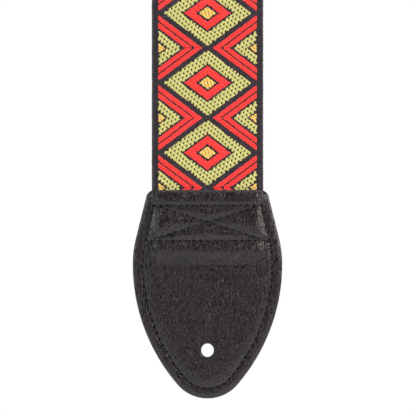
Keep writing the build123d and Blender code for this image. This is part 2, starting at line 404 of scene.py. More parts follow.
@painted
def webbing_weave(graph):
    """Plain polyester webbing: pairs of warp ends with the weft's chevrons between them."""
    pair_pitch, weft_pitch, weft_lean = 1.5 * MM, 1.25 * MM, 1.1 * MM
    dark, pale = (0.012, 0.012, 0.013, 1.0), (0.05, 0.049, 0.052, 1.0)
    across, along = graph.piece_map("strip")
    cell = across / pair_pitch
    side = (cell.steps() / 2.0).fraction() * 2.0
    lean = (cell.fraction() * weft_lean) * (side * 2.0 - 1.0)
    row = ((along + lean) / weft_pitch * math.tau).sine()
    column = (cell * math.tau).sine()
    fibre = graph.noise(graph.object_place(), 3000.0, 3.0, 0.6)
    return {
        "Base Color": graph.mix(fibre.ramp(0.4, 0.85), dark, pale),
        "Roughness": 0.5 + 0.25 * fibre,
        "Specular IOR Level": 0.4,
        "Sheen Weight": 0.1,
        "Sheen Roughness": 0.45,
        "Normal": graph.bump(row * 0.6 + abs(column) * 0.4 + fibre * 0.5, 0.22 * MM, 0.8),
    }


@painted
def sewing_thread(graph):
    """Black bonded thread with a visible twist."""
    thread = leather().thread
    around, along = graph.piece_map("strand")
    ply = ((along * 4.0 + around * 2.0) * math.tau).sine()
    fibre = graph.noise(graph.object_place(), 5000.0, 2.0)
    return {
        "Base Color": graph.mix(ply.ramp(-1.0, 1.0, 0.0, 0.6), shade(thread), shade(thread, 3.0)),
        "Roughness": 0.5 + 0.2 * fibre,
        "Specular IOR Level": 0.3,
        "Normal": graph.bump(ply, 0.06 * MM, 0.7),
    }


@painted
def painted_hole_shadow(graph):
    """Painted shadow: the near-black of a needle hole's shaded inside."""
    dark, pale = (0.0015, 0.0015, 0.0015, 1.0), (0.004, 0.004, 0.004, 1.0)
    fibre = graph.noise(graph.object_place(), 4000.0)
    return {"Base Color": graph.mix(fibre, dark, pale), "Roughness": 0.9, "Specular IOR Level": 0.05}


@painted
def pebbled_leather(graph):
    """Black chrome-tanned leather: small pebbles and ridges, both drawn out down the tab, the ridges painted
    lighter as painted highlight and the hollows darker as painted shade.
    """
    grain, tint = leather().grain, leather().tint
    place = graph.object_place()
    drift = graph.noise(place, 260.0, 2.0)
    warped = graph.vector("ADD", graph.scaled(place, (1.0, 1.0, 0.6)), graph.scaled(drift, (grain,) * 3))
    inputs = {"Vector": warped, "Scale": 1.0 / grain, "Randomness": 0.95}
    pebble = graph.add("ShaderNodeTexVoronoi", {"feature": "DISTANCE_TO_EDGE"}, inputs).ramp(0.0, 0.3)
    worm = graph.noise(graph.scaled(place, (1.0, 1.0, 0.22)), 1.05 / grain, 2.0, 0.55)
    ridge = (1.0 - abs(worm - 0.5) * 8.0).larger(0.0)
    cloud = graph.noise(place, 55.0, 2.0)
    relief = pebble * 0.30 + ridge * 0.70
    # Painted light: the grain's ridges get a lighter copy of the leather's colour as painted highlight, its
    # hollows a darker copy as painted shade.
    base = graph.mix(relief.ramp(0.30, 0.90), shade(tint, 0.4), shade(tint, 2.4))
    base = graph.mix(cloud.ramp(0.4, 0.7, 0.0, 0.4), base, shade(tint, 0.7))
    return {
        "Base Color": base,
        "Roughness": 0.28 - 0.08 * relief + 0.06 * cloud,
        "Specular IOR Level": 0.37,
        "Normal": graph.bump(relief, 0.13 * MM, 1.0),
    }


@painted
def moulded_plastic(graph):
    """Black moulded plastic: a satin spark texture with a few fine rubs along the bars."""
    plastic = hardware().plastic
    place = graph.object_place()
    spark = graph.noise(place, 2600.0, 2.0)
    worn = graph.noise(graph.scaled(place, (0.04, 1.0, 1.0)), 1800.0, 2.0).ramp(0.60, 0.75)
    return {
        "Base Color": graph.mix(worn * 0.5, shade(plastic), shade(plastic, 2.4)),
        "Roughness": 0.34 + 0.12 * spark - 0.08 * worn,
        "Specular IOR Level": 0.5,
        "Normal": graph.bump(spark, 0.03 * MM, 0.5),
    }


@painted
def coated_wire(graph):
    """Gloss black coating on steel wire, with orange peel and thin wear where the webbing rubs."""
    steel = (0.10, 0.10, 0.105, 1.0)
    place = graph.object_place()
    peel = graph.noise(place, 900.0, 2.0)
    wear = graph.noise(place, 320.0, 4.0, 0.65).ramp(0.66, 0.76)
    return {
        "Base Color": graph.mix(wear, shade(hardware().coating), steel),
        "Metallic": wear * 0.8,
        "Roughness": 0.16 + 0.10 * peel + 0.2 * wear,
        "Coat Weight": 0.4 * (1.0 - wear),
        "Coat Roughness": 0.08,
        "Normal": graph.bump(peel, 0.02 * MM, 0.4),
    }


@painted
def floor_paper(graph):
    """Pale seamless paper."""
    dark, pale = (0.78, 0.78, 0.78, 1.0), (0.84, 0.84, 0.84, 1.0)
    tooth = graph.noise(graph.object_place(), 900.0, 2.0)
    return {"Base Color": graph.mix(tooth, dark, pale), "Roughness": 0.9, "Specular IOR Level": 0.2}


# The strap's path.

class Route:
    """A path in the YZ plane of straight runs and arcs, by distance along it. It starts upwards, and its
    inner side is on its right. Its marks name distances."""

    def __init__(self, y, z):
        self.stops = [(0.0, y, z, math.pi / 2)]
        self.marks = {"foot": 0.0}

    @property
    def end(self):
        return self.stops[-1][0]

    def go(self, distance, mark=None):
        s, y, z, heading = self.stops[-1]
        self.stops.append(
            (s + distance, y + distance * math.cos(heading), z + distance * math.sin(heading), heading)
        )
        if mark:
            self.marks[mark] = self.end

    def climb_to(self, z, mark=None):
        self.go(z - self.stops[-1][2], mark)

    def turn(self, angle, radius):
        """Round an arc, to the right if the angle is positive."""
        steps = max(2, round(abs(angle) / math.radians(3)))
        s, y, z, heading = self.stops[-1]
        side = math.copysign(1.0, angle)
        centre_y = y + side * radius * math.sin(heading)
        centre_z = z - side * radius * math.cos(heading)
        for step in range(1, steps + 1):
            now = heading - angle * step / steps
            place_y = centre_y - side * radius * math.sin(now)
            place_z = centre_z + side * radius * math.cos(now)
            self.stops.append((s + abs(angle) * radius * step / steps, place_y, place_z, now))

    def jog(self, across, z_from, z_to, radius):
        """On the way up, step sideways between two heights: towards the inner side if across is positive."""
        angle = math.atan2(across, z_to - z_from)
        tangent = radius * math.tan(abs(angle) / 2)
        self.climb_to(z_from - tangent)
        self.turn(angle, radius)
        self.go(math.hypot(across, z_to - z_from) - 2 * tangent)
        self.turn(-angle, radius)

    def at(self, s):
        """Position and heading at distances along the path."""
        distance, y, z, heading = np.array(self.stops).T
        return np.interp(s, distance, y), np.interp(s, distance, z), np.interp(s, distance, heading)

    def place(self, x, s, inward):
        """Points x across the strap, s along it and inward from the path."""
        y, z, heading = self.at(s)
        x = np.broadcast_to(x, np.shape(y + inward))
        return np.stack([x, y + inward * np.sin(heading), z - inward * np.cos(heading)], axis=-1)


LOOP_BEND_RADIUS = 7.0 * MM
LOOP_BEND_BELOW = 13.1 * MM, 5.1 * MM
SPAN_BEND_RADIUS = 50.0 * MM
SPAN_BEND_HALF = 24.0 * MM
CROWN_REACH = 70.0 * MM


def strap_route():
    """The whole strap, from its end in the front tab to its sewn end."""
    route = Route(-LEG_Y, FOOT_Z)
    route.go(TAB_Z - FOOT_Z, "tab")
    route.go(FLEX_Z - TAB_Z, "flex")
    route.go(-CROWN_REACH - FLEX_Z, "front_reach")
    route.go(CROWN_REACH)
    route.turn(math.pi, LEG_Y)
    route.marks["top"] = route.end - LEG_Y * math.pi / 2
    route.go(CROWN_REACH, "back_reach")
    route.go(-CROWN_REACH - FOLD_Z, "fold")
    route.go(FOLD_Z - RING_Z)
    route.turn(math.pi, FOLD_RADIUS)
    route.go(FOLD_Z - RING_Z, "return")
    middle = (FLAP_END_Z + FOLD_Z) / 2
    route.jog(SEWN_Y - RETURN_Y, middle - SPAN_BEND_HALF, middle + SPAN_BEND_HALF, SPAN_BEND_RADIUS)
    route.climb_to(FLAP_END_Z, "sewn")
    bend_low, bend_high = (SLIDE_Z - below for below in LOOP_BEND_BELOW)
    route.jog(BEHIND_BAR_Y - SEWN_Y, bend_low, bend_high, LOOP_BEND_RADIUS)
    route.climb_to(BAR_TOP_Z)
    route.turn(math.pi, BAR_LOOP_RADIUS)
    route.go(BAR_TOP_Z - FLAP_END_Z, "end")
    return route


def tail_route():
    """The tail's webbing from its front end in the tab, round the ring's lower bar, to its back end."""
    layer = (high("tail_end").y - low("tail_end").y - BACKING_THICK) / 2
    drop = LOWER_BAR_Z - TAIL_TAB_Z
    route = Route(RING_Y - layer, TAIL_FOOT_Z)
    route.go(TAIL_SEAM_Z - TAIL_FOOT_Z, "seam")
    route.jog(layer - TAIL_TURN, TAIL_SEAM_Z + drop / 8, LOWER_BAR_Z - drop / 4, drop / 2)
    route.climb_to(LOWER_BAR_Z)
    turn_start = route.end
    route.turn(math.pi, TAIL_TURN)
    turned = turn_start + route.end
    for s, y, z, heading in [stop for stop in reversed(route.stops) if stop[0] < turn_start - 1e-9]:
        route.stops.append((turned - s, 2 * RING_Y - y, z, -heading))
    route.marks["back_seam"] = turned - route.marks["seam"]
    route.marks["end"] = route.end
    return route


STRAP = strap_route()
TAIL = tail_route()


# Mesh helpers.

def new_object(name, data, *materials):
    obj = bpy.data.objects.new(name, data)
    bpy.context.scene.collection.objects.link(obj)
    for each in materials:
        data.materials.append(each)
    return obj


def mesh_from(name, points, faces):
    mesh = bpy.data.meshes.new(name)
    mesh.from_pydata([tuple(point) for point in points], [], faces)
    mesh.polygons.foreach_set("use_smooth", [True] * len(mesh.polygons))
    mesh.update()
    return mesh


def add_map(mesh, name, uv_by_vertex):
    """A UV map that has one place for each vertex."""
    layer = mesh.uv_layers.new(name=name)
    corner = np.empty(len(mesh.loops), dtype=np.int32)
    mesh.loops.foreach_get("vertex_index", corner)
    layer.data.foreach_set("uv", np.asarray(uv_by_vertex, dtype=np.float32)[corner].ravel())


EDGE_ROUNDING = 0.45 * MM
FACE_COLUMNS = 9


def strip_section(outer, inner):
    """A closed section of a flat strip: (x, inward) over its outer face, round its edge and back."""
    rounding = min(EDGE_ROUNDING, (inner - outer) / 2)
    corner = STRAP_WIDTH / 2 - rounding
    points = [(x, outer) for x in np.linspace(-corner, corner, FACE_COLUMNS)]
    for start, way, angles in ((outer, 1, (60, 30, 0)), (inner, -1, (30, 60, 90))):
        for angle in np.radians(angles):
            inward = start + way * rounding * (1 - math.sin(angle))
            points.append((corner + rounding * math.cos(angle), inward))
    points += [(-x, outer + inner - depth) for x, depth in points[1:-1]]
    return np.array(points)


def strip(name, route, near, far, outer, inner, finish, step):
    """A closed strip of cloth along a route from near to far, between two depths from the route."""
    section = strip_section(outer, inner)
    rows, count = max(3, int(math.ceil((far - near) / step)) + 1), len(section)
    x, inward = np.tile(section, (rows, 1)).T
    s = np.repeat(np.linspace(near, far, rows), count)
    faces = []
    for row in range(rows - 1):
        for k in range(count):
            a, b = row * count + k, row * count + (k + 1) % count
            faces.append((a, b, b + count, a + count))
    faces.append(tuple(range(count))[::-1])
    faces.append(tuple((rows - 1) * count + k for k in range(count)))
    mesh = mesh_from(name, route.place(x, s, inward), faces)
    add_map(mesh, "strip", np.stack([x, s], axis=-1))
    return new_object(name, mesh, finish)


# Sections of a strand: how far along it each one is, and how large.
BOWED = (-0.5, 0.0), (-0.36, 0.8), (0.0, 1.0), (0.36, 0.8), (0.5, 0.0)
LEVEL = (-0.5, 0.0), (-0.3, 1.0), (0.3, 1.0), (0.5, 0.0)


def strand_mesh(sides, sections):
    """One unit of laid yarn: along Y from -1/2 to 1/2, 1 wide in X, 1 high in Z, with a flat underside."""
    ring = [(math.cos(a) / 2, max(0.0, math.sin(a))) for a in np.linspace(math.pi, 0, sides)]
    points, places, faces = [(0.0, sections[0][0], 0.0)], [(0.5, 0.0)], []
    for along, size in sections[1:-1]:
        for k, (x, z) in enumerate(ring):
            points.append((x * size, along, z * size))
            places.append((k / (sides - 1), along + 0.5))
    points.append((0.0, sections[-1][0], 0.0))
    places.append((0.5, 1.0))
    last = len(points) - 1
    for k in range(sides):
        after = (k + 1) % sides
        faces.append((0, 1 + after, 1 + k))
        faces.append((last, last - sides + k, last - sides + after))
        for section in range(len(sections) - 3):
            a = 1 + section * sides
            faces.append((a + k, a + after, a + sides + after, a + sides + k))
    mesh = mesh_from("strand", points, faces)
    add_map(mesh, "strand", places)
    return mesh


def laying_tree():
    """Lays one strand on each point: turned and leaned as the point says, as long as the point says."""
    if "Lay strands" in bpy.data.node_groups:
        return bpy.data.node_groups["Lay strands"]
    tree = bpy.data.node_groups.new("Lay strands", "GeometryNodeTree")
    kinds = {
        "Geometry": "Geometry", "Strand": "Object", "Width": "Float", "Height": "Float", "Finish": "Material",
    }
    for name, kind in kinds.items():
        tree.interface.new_socket(name, in_out="INPUT", socket_type=f"NodeSocket{kind}")
    tree.interface.new_socket("Geometry", in_out="OUTPUT", socket_type="NodeSocketGeometry")
    graph = Graph(tree)
    given = tree.nodes.new("NodeGroupInput")
    sockets = {socket.name: Value(graph, socket) for socket in given.outputs if socket.name}

    def from_point(name):
        settings = {"data_type": "FLOAT"}
        return graph.add("GeometryNodeInputNamedAttribute", settings, {"Name": name}, "Attribute")

    def combined(**parts):
        return graph.add("ShaderNodeCombineXYZ", None, parts)

    laid = graph.add("GeometryNodeInstanceOnPoints", None, {
        "Points": sockets["Geometry"],
        "Instance": graph.add("GeometryNodeObjectInfo", None, {"Object": sockets["Strand"]}, "Geometry"),
        "Rotation": combined(X=from_point("turn")),
        "Scale": combined(X=sockets["Width"], Y=from_point("length"), Z=sockets["Height"]),
    })
    lean = combined(Z=from_point("lean"))
    leaned = graph.add("GeometryNodeRotateInstances", None, {"Instances": laid, "Rotation": lean})
    real = graph.add("GeometryNodeRealizeInstances", None, {"Geometry": leaned})
    finished = graph.add("GeometryNodeSetMaterial", None, {"Geometry": real, "Material": sockets["Finish"]})
    graph.add("NodeGroupOutput", None, {"Geometry": finished})
    return tree


def lay(name, points, lengths, turns, leans, strand, width, height, finish, seed):
    """A piece of many strands, one on each point."""
    mesh = bpy.data.meshes.new(name)
    mesh.from_pydata([tuple(point) for point in points], [], [])
    count = len(points)
    tints = np.random.default_rng(seed).uniform(0.0, 1.0, count)
    for key, values in (("length", lengths), ("turn", turns), ("lean", leans), ("tint", tints)):
        column = np.broadcast_to(np.asarray(values, dtype=np.float32), (count,))
        mesh.attributes.new(key, "FLOAT", "POINT").data.foreach_set("value", np.ascontiguousarray(column))
    obj = new_object(name, mesh)
    pattern = bpy.data.objects.new("strand_pattern", strand)
    modifier = obj.modifiers.new("Lay strands", "NODES")
    modifier.node_group = laying_tree()
    given = {"Strand": pattern, "Width": width, "Height": height, "Finish": finish}
    for item in modifier.node_group.interface.items_tree:
        if item.in_out == "INPUT" and item.name in given:
            modifier[item.identifier] = given[item.name]
    evaluated = obj.evaluated_get(bpy.context.evaluated_depsgraph_get())
    result = bpy.data.meshes.new_from_object(evaluated)
    obj.modifiers.clear()
    obj.data = result
    bpy.data.objects.remove(pattern)
    if not result.polygons:
        raise RuntimeError(f"{name} came out empty")
    return obj


# The stretches of the strap, and what each one moves with.


def bend_front_crown(piece):
    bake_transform(piece)


def bend_back_crown(piece):
    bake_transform(piece)


def bend_at_tab(piece):
    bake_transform(piece)


def bend_tail_end(piece):
    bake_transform(piece)


def stretch_running_layer(piece):
    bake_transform(piece)


def shrink_span(piece):
    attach(piece, "adjuster")
    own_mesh(piece)


def riding(body):
    def ride(piece):
        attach(piece, body)
    return ride


def settle(piece, move, node=None):
    """Says what a piece moves with and which node it stands for."""
    move(piece)
    if node:
        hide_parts(node)


Stretch = namedtuple("Stretch", "name near far move node rest")

STRETCHES = [Stretch(name, STRAP.marks[near], STRAP.marks[far], *others) for name, near, far, *others in (
    ("front_end", "foot", "flex", bend_at_tab, "front_end", "front_leg"),
    ("front_leg", "flex", "front_reach", riding("front_leg"), "front_leg", "crown"),
    ("front_crown", "front_reach", "top", bend_front_crown, "crown", "crown"),
    ("back_crown", "top", "back_reach", bend_back_crown, "crown", "crown"),
    ("back_leg", "back_reach", "fold", stretch_running_layer, "back_leg", "crown"),
    ("ring_fold", "fold", "return", riding("ring_fold"), "ring_fold", "ring"),
    ("return_span", "return", "sewn", shrink_span, "return_span", "slide"),
    ("end_loop", "sewn", "end", riding("adjuster"), "end_loop", "slide"),
)]

CURVED_STEP = 1.2 * MM
STRAIGHT_STEP = 3.0 * MM


def weave_ribbon_and_backing():
    layers = {
        "ribbon": (-RIBBON_THICK, 0.0, ribbon_ground()),
        "backing": (0.0, BACKING_THICK, webbing_weave()),
    }
    for name, near, far, move, node, rest in STRETCHES:
        step = CURVED_STEP if name in ("ring_fold", "end_loop") else STRAIGHT_STEP
        for layer, (outer, inner, finish) in layers.items():
            piece = strip(f"{name}_{layer}_cloth", STRAP, near, far, outer, inner, finish, step)
            settle(piece, move, f"{node}_{layer}")
            far - near


# The woven figure: plain lozenges down the middle of the strap, half lozenges along both edges.

GREEN, RED, GOLD = 1, 2, 3
FIGURE_EDGE = 22.4 * MM
LOZENGE_ACROSS = 20.0 * MM
LOZENGE_ALONG = 15.0 * MM
# Bands of yarn, each from one share of the way from a lozenge's middle to its edge up to another.
LOZENGE_BANDS = (GREEN, 0.60, 1.0), (RED, 0.26, 0.53), (GOLD, -math.inf, 0.20)
EDGE_BANDS = (RED, 0.60, 1.0), (0, 0.78, 0.82), (GREEN, 0.22, 0.53), (GOLD, -math.inf, 0.16)
FLOAT_STEP = 0.05 * MM
SHORTEST_FLOAT = 0.4 * MM
SHORTEST_TRIMMED_FLOAT = 0.3 * MM
FIGURE_TUCK = 1.5 * MM
YARN_SINK = 0.03 * MM


def lozenges(x, b):
    """The yarn at places x across the strap and b along it from the middle of a lozenge."""
    half_pitch = weave().motif_pitch / 2
    middle = np.abs(x) / LOZENGE_ACROSS + np.abs(b) / LOZENGE_ALONG
    side = (FIGURE_EDGE - np.abs(x)) / LOZENGE_ACROSS + (half_pitch - np.abs(b)) / LOZENGE_ALONG
    yarns = np.zeros(np.broadcast(x, b).shape, dtype=int)
    for share, bands in ((middle, LOZENGE_BANDS), (side, EDGE_BANDS)):
        for kind, start, stop in bands:
            yarns[(share > start) & (share < stop)] = kind
    yarns[np.broadcast_to(np.abs(x) > FIGURE_EDGE, yarns.shape)] = 0
    return yarns


@dataclass
class Laid:
    """How one kind of yarn is laid, in columns along the strap."""

    kind: int
    pitch: float  # from one column to the next
    drift: int  # columns that a yarn moves across in one repeat
    reach: float  # from one binding of a yarn to its next
    gap: float  # length that a binding hides
    shift: float  # from a column's bindings to its neighbour's, in reaches
    width: float
    height: float = 1.0  # in yarn heights
    every: int = 1  # one column in so many is laid
    offset: int = 0  # the first column that is laid
    lap: float = 1.08  # how far a float is drawn out under its bindings
    lead: float = 0.0  # where the bindings start, in reaches

    def floats(self):
        """Where it floats in a repeat of two lozenges: across, along and length of each float."""
        motif = weave().motif_pitch
        repeat = 2 * motif
        s = np.arange(0.0, repeat, FLOAT_STEP)
        slope = self.drift * self.pitch / repeat
        first = int((-FIGURE_EDGE - slope * repeat) / self.pitch) - 1
        found = []
        for column in range(first, int(FIGURE_EDGE / self.pitch) + 2):
            if (column - self.offset) % self.every:
                continue
            x = column * self.pitch + slope * s
            phase = ((column // self.every) * self.shift + self.lead) * self.reach
            up = (lozenges(x, (s % motif) - motif / 2) == self.kind) & ((s + phase) % self.reach >= self.gap)
            edges = np.flatnonzero(np.diff(np.concatenate([[0], up.astype(int), [0]])))
            for start, stop in edges.reshape(-1, 2):
                run, middle = (stop - start) * FLOAT_STEP, (start + stop) / 2 * FLOAT_STEP
                if run > SHORTEST_FLOAT:
                    found.append((column * self.pitch + slope * middle, middle, run))
        return np.array(found).T

    def lay_on(self, label, finish, seed):
        """Over the whole strap, a piece for each stretch."""
        across, along, lengths = self.floats()
        repeat = 2 * weave().motif_pitch
        lean = math.atan(self.drift * self.pitch / repeat)
        start = STRAP.marks["tab"] + weave().motif_start - weave().motif_pitch / 2
        strand = strand_mesh(5, LEVEL)
        for order, (name, near, far, move, node, rest) in enumerate(STRETCHES):
            if name == "front_end":
                near = STRAP.marks["tab"] - FIGURE_TUCK
            first, last = math.floor((near - start) / repeat), math.ceil((far - start) / repeat)
            s = np.concatenate([start + k * repeat + along for k in range(first, last)])
            x, size = np.tile(across, last - first), np.tile(lengths, last - first) * self.lap
            begin, end = s - size / 2, s + size / 2
            here = (s >= near) & (s < far)
            if name in ("ring_fold", "return_span"):  # these ends slide together, so no yarn crosses them
                begin, end = np.maximum(begin, near), np.minimum(end, far)
                here = end - begin > SHORTEST_TRIMMED_FLOAT
            if not here.any():
                continue
            s, x, size = ((begin + end) / 2)[here], x[here], (end - begin)[here]
            points = STRAP.place(x, s, np.full(len(s), YARN_SINK - RIBBON_THICK))
            height = weave().yarn_height * self.height
            piece = lay(f"{name}_{label}_yarn", points, size, STRAP.at(s)[2], -lean, strand, self.width,
                        height, finish, seed + order)
            settle(piece, move)


def weave_figure():
    kit = weave()
    green = {"kind": GREEN, "pitch": kit.green_pitch, "drift": kit.green_columns, "every": 2,
             "reach": kit.motif_pitch / 16, "shift": 0.6}
    satin = {"pitch": kit.satin_pitch}
    green_yarn = yarn("green_yarn", kit.green, 0.12)
    bound = Laid(**green, gap=0.80 * MM, width=0.92 * MM, height=0.8)
    bound.lay_on("green_bound", green_yarn, seed=10)
    free = Laid(**green, gap=0.06 * MM, width=1.12 * MM, offset=1, lap=1.32, lead=0.3)
    free.lay_on("green_free", green_yarn, seed=20)
    red = Laid(RED, **satin, drift=0, reach=4.6 * MM, gap=0.05 * MM, shift=0.29, width=0.84 * MM, height=0.9)
    red.lay_on("red", yarn("red_yarn", kit.red, 0.25), seed=30)
    gold = Laid(GOLD, **satin, drift=46, reach=2.2 * MM, gap=0.08 * MM, shift=0.4, width=0.74 * MM)
    gold.lay_on("gold", yarn("gold_yarn", kit.gold, 0.15), seed=50)


# Seams and selvedges along the strap.

EDGE_SEAM_INSET = 2.0 * MM
EDGE_THREAD_WIDTH = 0.5 * MM
EDGE_THREAD_HEIGHT = 0.16 * MM
SELVEDGE_INSET = 0.32 * MM
SELVEDGE_SINK = 0.02 * MM
SELVEDGE_TURN = 1.15 * MM
SELVEDGE_HEIGHT = 0.22 * MM
SELVEDGE_LEAN = math.radians(74)
BOX_PITCH = 2.6 * MM
BOX_STITCH = 2.3 * MM
BOX_THREAD_WIDTH = 0.55 * MM
BOX_THREAD_HEIGHT = 0.3 * MM


def steps_between(near, far, pitch):
    """The middles of whole steps of about a pitch."""
    count = max(2, round((far - near) / pitch))
    return near + (np.arange(count) + 0.5) * (far - near) / count


def sew_edges():
    strand = strand_mesh(5, BOWED)
    for order, (name, near, far, move, node, rest) in enumerate(STRETCHES):
        s = steps_between(near, far, weave().stitch_pitch)
        points, headings = [], []
        for face, flip in ((-RIBBON_THICK, 0.0), (BACKING_THICK, math.pi)):
            if name == "ring_fold" and flip:
                continue  # the ring's wire bears on this face
            for side in (-1, 1):
                x = side * (STRAP_WIDTH / 2 - EDGE_SEAM_INSET)
                points.append(STRAP.place(x, s, np.full(len(s), face)))
                headings.append(STRAP.at(s)[2] + flip)
        stitch = (far - near) / len(s) * 0.9
        piece = lay(f"{name}_edge_stitches", np.concatenate(points), stitch, np.concatenate(headings), 0.0,
                    strand, EDGE_THREAD_WIDTH, EDGE_THREAD_HEIGHT, sewing_thread(), 70 + order)
        settle(piece, move, f"{node}_edge_thread")


def turn_selvedges():
    """The weft's turns, which make the ribbon's and the backing's edges slightly uneven."""
    pitch = weave().selvedge_pitch
    strand, finish = strand_mesh(5, LEVEL), yarn("ground_yarn", weave().ground, 0.3)
    rng = np.random.default_rng(5)
    for order, (name, near, far, move, node, rest) in enumerate(STRETCHES):
        s = steps_between(near, far, pitch)
        points = []
        for side in (-1, 1):
            x = side * (STRAP_WIDTH / 2 - SELVEDGE_INSET + rng.uniform(-0.06, 0.06, len(s)) * MM)
            points.append(STRAP.place(x, s, np.full(len(s), SELVEDGE_SINK - RIBBON_THICK)))
        lean = np.repeat([SELVEDGE_LEAN, -SELVEDGE_LEAN], len(s))
        headings = np.tile(STRAP.at(s)[2], 2)
        piece = lay(f"{name}_selvedge", np.concatenate(points), SELVEDGE_TURN, headings, lean,
                    strand, pitch * 0.9, SELVEDGE_HEIGHT, finish, 90 + order)
        settle(piece, move)


def stitch_places(lines, pitch):
    """Stitches along straight lines in the XZ plane: x, z and lean from the vertical of each."""
    places = []
    for (x0, z0), (x1, z1) in lines:
        count = max(1, round(math.hypot(x1 - x0, z1 - z0) / pitch))
        t = (np.arange(count) + 0.5) / count
        lean = np.full(count, -math.atan2(x1 - x0, z1 - z0))
        places.append([x0 + (x1 - x0) * t, z0 + (z1 - z0) * t, lean])
    return np.concatenate(places, axis=1)


def sew_end_box():
    """The box and cross that hold the strap's sewn end."""
    node = "end_loop_box_thread"
    lo, hi = low(node), high(node)
    inset = leather().thread_width / 2
    left, right, bottom, top = lo.x + inset, hi.x - inset, lo.z + inset, hi.z - inset
    corners = [(left, top), (right, top), (right, bottom), (left, bottom)]
    joined = [(0, 1), (1, 2), (2, 3), (3, 0), (0, 2), (1, 3)]
    x, z, lean = stitch_places([(corners[a], corners[b]) for a, b in joined], BOX_PITCH)
    points = np.concatenate([np.stack([x, np.full(len(x), y), z], axis=-1) for y in (hi.y, lo.y)])
    turns = np.repeat([-math.pi / 2, math.pi / 2], len(x))
    piece = lay("end_box_stitches", points, BOX_STITCH, turns, np.concatenate([-lean, lean]),
                strand_mesh(5, BOWED), BOX_THREAD_WIDTH, BOX_THREAD_HEIGHT, sewing_thread(), 120)
    settle(piece, riding("adjuster"), node)


def loop_tail():
    """The tail's plain webbing."""
    parts = (
        ("tail_front_end_cloth", "foot", "seam", bend_tail_end, "tail_end"),
        ("tail_loop_cloth", "seam", "back_seam", riding("tail"), "tail_loop"),
        ("tail_back_end_cloth", "back_seam", "end", bend_tail_end, "tail_end"),
    )
    half = BACKING_THICK / 2
    for name, near, far, move, node in parts:
        near, far = TAIL.marks[near], TAIL.marks[far]
        piece = strip(name, TAIL, near, far, -half, half, webbing_weave(), CURVED_STEP)
        settle(piece, move, node)
        far - near


# Leather tabs. A panel is drawn as x across and d down from its top edge, with its height above the joint.

WIDEST_AT = 34.0 * MM
TIP_RADIUS = 18.0 * MM
SHOULDER_RADIUS = 50.0 * MM
SHOULDER_LEAN = math.radians(14.0)
CORNER_RADIUS = 4.0 * MM
POCKET_DEPTH = TAB_Z - FOOT_Z
SLOPE_LEAD = 0.5 * MM
SLOPE_BELOW = 9.0 * MM
POCKET_SPARE = 0.15 * MM
SLOPE_BESIDE = 3.6 * MM
OUTER_SPARE = -3.6 * MM
OUTER_SLOPE = 5.0 * MM
HOLE_RADIUS = 3.1 * MM
HOLE_AT = 73.4 * MM
HOLE_NARROWING = 0.93
HOLE_LIP = 0.45 * MM
SLIT_LENGTH = 11.0 * MM
SLIT_WIDTH = 0.06 * MM
SLIT_BACK_WIDTH = 0.35 * MM
SEAM_INSET = 4.6 * MM
SEAM_TOP_AT = 7.0 * MM
SEAM_BOTTOM_AT = 23.2 * MM
CROSS_SHARE = 0.98
CROSS_LIFT = 1.0 * MM
RIM_WIDTH = 4.4 * MM
RIM_DROP = 1.5 * MM
PUFF = 0.25 * MM
MARGIN_SINK = 0.45 * MM
MARGIN_SLOPE = 0.6 * MM
SEAM_DEPTH = 0.85 * MM
SEAM_REACH = 2.5 * MM
GROOVE_DEPTH = 0.20 * MM
GROOVE_REACH = 0.5 * MM
WRINKLE_HEIGHT = 0.16 * MM
WRINKLE_FADE = 3.0 * MM
WRINKLE_COUNT = 26
CREASE_ANGLE = math.radians(50)
THREAD_HEIGHT = 0.26 * MM
# Sizes of the dark discs that paint the needle holes' shadow.
PRICK_LENGTH = 1.45 * MM
PRICK_WIDTH = 1.3 * MM


def arc(centre, radius, start, stop, step=0.7 * MM):
    """Points round an arc, angles from +x towards +d."""
    count = max(2, int(abs(stop - start) * radius / step) + 1)
    angles = np.linspace(start, stop, count)
    return np.stack([centre[0] + radius * np.cos(angles), centre[1] + radius * np.sin(angles)], axis=-1)


def line(start, stop, step=0.7 * MM):
    start, stop = np.array(start), np.array(stop)
    count = max(2, int(np.linalg.norm(stop - start) / step) + 1)
    return start + (stop - start) * np.linspace(0, 1, count)[:, None]


def right_side(inset):
    """The outline's right side from the top edge to the tip, moved inward by inset."""
    tip_centre = TAB_LENGTH - TIP_RADIUS
    drop = tip_centre - WIDEST_AT
    side = (TAB_HALF ** 2 + drop ** 2 - TIP_RADIUS ** 2) / (2 * (TAB_HALF - TIP_RADIUS))
    meet = math.asin(drop / (side - TIP_RADIUS))
    shoulder = arc((TAB_HALF - SHOULDER_RADIUS, WIDEST_AT), SHOULDER_RADIUS - inset, -SHOULDER_LEAN, 0.0)
    rise = shoulder[0][1] - inset
    top = (shoulder[0][0] - rise * math.tan(SHOULDER_LEAN), inset)
    return np.concatenate([
        line(top, shoulder[0])[:-1],
        shoulder[:-1],
        arc((TAB_HALF - side, WIDEST_AT), side - inset, 0.0, meet)[:-1],
        arc((0.0, tip_centre), TIP_RADIUS - inset, meet, math.pi / 2),
    ])


def rounded_outline(inset):
    """The whole outline as a closed loop, with rounded top corners."""
    right = right_side(inset)
    radius = max(0.3 * MM, CORNER_RADIUS - inset)
    tangent = radius * math.tan((math.pi / 2 - SHOULDER_LEAN) / 2)
    centre = (right[0][0] - tangent, right[0][1] + radius)
    corner = arc(centre, radius, -math.pi / 2, -SHOULDER_LEAN, 0.35 * MM)
    right = np.concatenate([corner, right[right[:, 1] > corner[-1][1] + 0.2 * MM]])
    left = right[::-1] * [-1, 1]
    across = line(left[-1], right[0])[1:-1]
    return np.concatenate([across, right, left[1:]])


